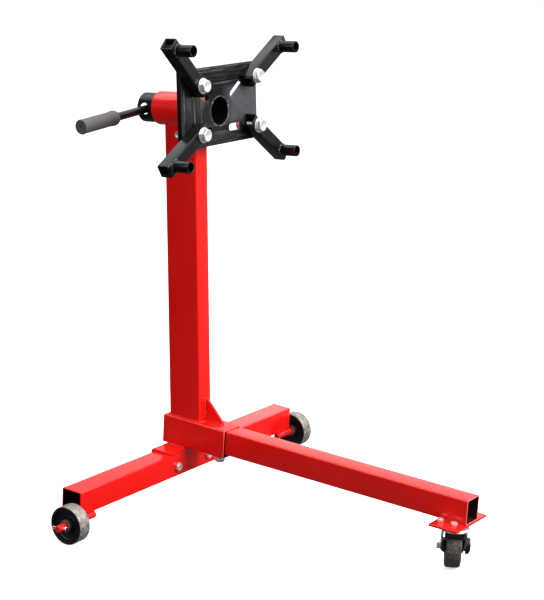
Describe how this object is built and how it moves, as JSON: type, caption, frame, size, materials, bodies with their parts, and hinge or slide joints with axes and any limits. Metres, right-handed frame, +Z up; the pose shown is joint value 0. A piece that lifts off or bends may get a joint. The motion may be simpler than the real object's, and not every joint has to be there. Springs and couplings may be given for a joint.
{
  "type": "engine stand",
  "caption": "Wheeled engine stand: T base with socketed front leg and swivel caster, leaning box post, and a rotating slotted head plate with swinging arms and a side handle.",
  "frame": {"origin": "on the floor, under the middle of the overall box, below the front leg", "axes": "+Z up, +X along the front leg towards the caster, +Y along the cross tube towards the right rear wheel"},
  "size_m": [0.6954, 0.711, 0.8166],
  "materials": {
    "red_paint": "gloss red powder coat",
    "black_paint": "satin black paint",
    "zinc": "bright zinc plate",
    "bare_steel": "worn cast steel with speckled treads",
    "tyre_rubber": "dark grey solid tyre",
    "grip_rubber": "matte grey-black moulded grip",
    "black_plastic": "black moulded plastic"
  },
  "bodies": {
    "stand": {"cross_tube": "red_paint", "saddle_bracket": "red_paint", "leg_socket": "red_paint", "upright_post": "red_paint", "post_gusset": "red_paint", "head_housing": "red_paint", "frame_bolt_left": "zinc", "frame_bolt_right": "zinc", "frame_nut_left": "zinc", "frame_nut_right": "zinc", "socket_nut": "zinc", "post_screw": "zinc", "axle_rod_left": "red_paint", "axle_rod_right": "red_paint", "washer_inner_left": "zinc", "washer_inner_right": "zinc", "washer_outer_left": "zinc", "washer_outer_right": "zinc", "cotter_pin_left": "zinc", "cotter_pin_right": "zinc"},
    "leg": {"front_leg": "red_paint", "caster_mount_plate": "red_paint", "caster_top_plate": "zinc", "caster_kingpin": "zinc", "caster_bolt_1": "zinc", "caster_bolt_2": "zinc", "caster_bolt_3": "zinc", "caster_bolt_4": "zinc"},
    "socket_screw": {"socket_screw": "zinc"},
    "caster": {"caster_fork": "zinc", "caster_axle_bolt": "zinc", "caster_axle_nut": "zinc", "thread_guard_left": "black_plastic", "thread_guard_right": "black_plastic", "brake_shoe": "black_plastic"},
    "caster_wheel": {"caster_tyre": "tyre_rubber", "caster_hub": "black_plastic"},
    "brake": {"brake_lever": "black_plastic"},
    "rear_wheel_left": {"rear_wheel_left": "bare_steel"},
    "rear_wheel_right": {"rear_wheel_right": "bare_steel"},
    "head": {"head_spindle": "black_paint", "mount_plate": "black_paint"},
    "handle": {"handle_rod": "black_paint", "handle_grip": "grip_rubber"},
    "bolt_upper_left": {"arm_bolt_upper_left": "zinc", "arm_nut_upper_left": "zinc"},
    "arm_upper_left": {"arm_upper_left": "black_paint", "arm_spacer_upper_left": "black_paint"},
    "bolt_upper_right": {"arm_bolt_upper_right": "zinc", "arm_nut_upper_right": "zinc"},
    "arm_upper_right": {"arm_upper_right": "black_paint", "arm_spacer_upper_right": "black_paint"},
    "bolt_lower_left": {"arm_bolt_lower_left": "zinc", "arm_nut_lower_left": "zinc"},
    "arm_lower_left": {"arm_lower_left": "black_paint", "arm_spacer_lower_left": "black_paint"},
    "bolt_lower_right": {"arm_bolt_lower_right": "zinc", "arm_nut_lower_right": "zinc"},
    "arm_lower_right": {"arm_lower_right": "black_paint", "arm_spacer_lower_right": "black_paint"}
  },
  "joints": [
    {"name": "head_rotation", "type": "hinge", "parent": "stand", "child": "head", "pos_m": [-0.264, 0, 0.67732], "axis": [0.996, 0, 0.0898], "continuous": true},
    {"name": "handle_slide", "type": "slide", "parent": "head", "child": "handle", "axis": [0.0067, -0.9972, -0.0747], "range_m": [-0.06, 0.014]},
    {"name": "slot_slide_upper_left", "type": "slide", "parent": "head", "child": "bolt_upper_left", "axis": [-0.0492, -0.8362, 0.5462], "range_m": [-0.0465, 0.0076]},
    {"name": "arm_swing_upper_left", "type": "hinge", "parent": "bolt_upper_left", "child": "arm_upper_left", "pos_m": [-0.18091, -0.076, 0.73465], "axis": [0.996, 0, 0.0898], "range_deg": [-34, 55]},
    {"name": "slot_slide_upper_right", "type": "slide", "parent": "head", "child": "bolt_upper_right", "axis": [-0.0518, 0.8167, 0.5747], "range_m": [-0.0475, 0.0072]},
    {"name": "arm_swing_upper_right", "type": "hinge", "parent": "bolt_upper_right", "child": "arm_upper_right", "pos_m": [-0.18122, 0.076, 0.73814], "axis": [0.996, 0, 0.0898], "range_deg": [-42, 47]},
    {"name": "slot_slide_lower_left", "type": "slide", "parent": "head", "child": "bolt_lower_left", "axis": [0, -1, 0], "range_m": [-0.046, 0.0084]},
    {"name": "arm_swing_lower_left", "type": "hinge", "parent": "bolt_lower_left", "child": "arm_lower_left", "pos_m": [-0.17369, -0.078, 0.65458], "axis": [0.996, 0, 0.0898], "range_deg": [-37, 52]},
    {"name": "slot_slide_lower_right", "type": "slide", "parent": "head", "child": "bolt_lower_right", "axis": [0, 1, 0], "range_m": [-0.046, 0.0084]},
    {"name": "arm_swing_lower_right", "type": "hinge", "parent": "bolt_lower_right", "child": "arm_lower_right", "pos_m": [-0.17369, 0.078, 0.65458], "axis": [0.996, 0, 0.0898], "range_deg": [-44, 45]},
    {"name": "rear_wheel_spin_left", "type": "hinge", "parent": "stand", "child": "rear_wheel_left", "pos_m": [-0.21601, -0.323, 0.0322], "axis": [0, 1, 0], "continuous": true},
    {"name": "rear_wheel_spin_right", "type": "hinge", "parent": "stand", "child": "rear_wheel_right", "pos_m": [-0.21601, 0.323, 0.0322], "axis": [0, 1, 0], "continuous": true},
    {"name": "leg_slide", "type": "slide", "parent": "stand", "child": "leg", "axis": [1, 0, 0], "range_m": [-0.03, 0.08]},
    {"name": "socket_screw_travel", "type": "slide", "parent": "stand", "child": "socket_screw", "axis": [0, 0, -1], "range_m": [0, 0.012]},
    {"name": "caster_swivel", "type": "hinge", "parent": "leg", "child": "caster", "pos_m": [0.31819, 0, 0.08], "axis": [0, 0, 1], "continuous": true},
    {"name": "caster_roll", "type": "hinge", "parent": "caster", "child": "caster_wheel", "pos_m": [0.30653, 0.01866, 0.0365], "axis": [0.848, 0.5299, 0], "continuous": true},
    {"name": "brake_press", "type": "hinge", "parent": "caster", "child": "brake", "pos_m": [0.30653, 0.01866, 0.0365], "axis": [0.848, 0.5299, 0], "range_deg": [-20, 12]}
  ]
}
